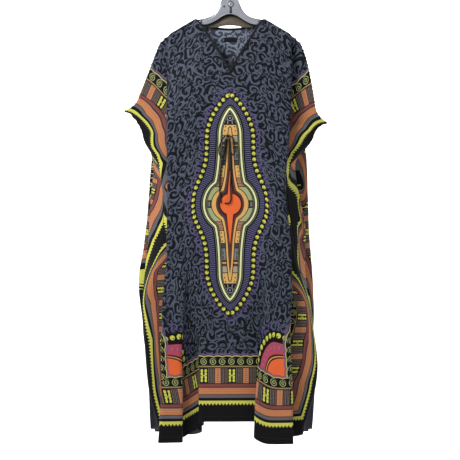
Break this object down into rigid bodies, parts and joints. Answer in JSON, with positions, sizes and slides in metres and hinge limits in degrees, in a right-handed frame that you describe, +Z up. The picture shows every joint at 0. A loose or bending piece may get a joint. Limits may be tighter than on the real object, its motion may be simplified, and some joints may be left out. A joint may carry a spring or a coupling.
{
  "type": "dashiki kaftan on a hanger",
  "caption": "Long wide-cut dashiki kaftan with a V neck, open cuffs, side slits and a tied waist cord, hanging in soft folds on a moulded hanger with a wire hook.",
  "frame": {"origin": "top of the hook's inside, where the rail carries the hanger", "axes": "+Z up along the kaftan's length, +X across it to the right seen from the front, -Y out of the front"},
  "size_m": [0.6521, 0.2007, 1.4964],
  "materials": {
    "print_cloth": "matte woven cotton with a bordered print",
    "binding": "matte woven bias tape",
    "label": "satin woven, blank",
    "tie_cord": "matte round cord",
    "hanger_plastic": "satin moulded plastic",
    "hook_steel": "bright plated wire"
  },
  "bodies": {
    "root": {"front_panel": "print_cloth", "back_panel": "print_cloth", "neck_binding_front": "binding", "neck_binding_back": "binding", "neck_label": "label", "tie_knot": "tie_cord", "tie_loop_left": "tie_cord", "tie_loop_right": "tie_cord", "tie_tail_left": "tie_cord", "tie_tail_right": "tie_cord", "hanger": "hanger_plastic", "hook": "hook_steel"}
  },
  "joints": []
}
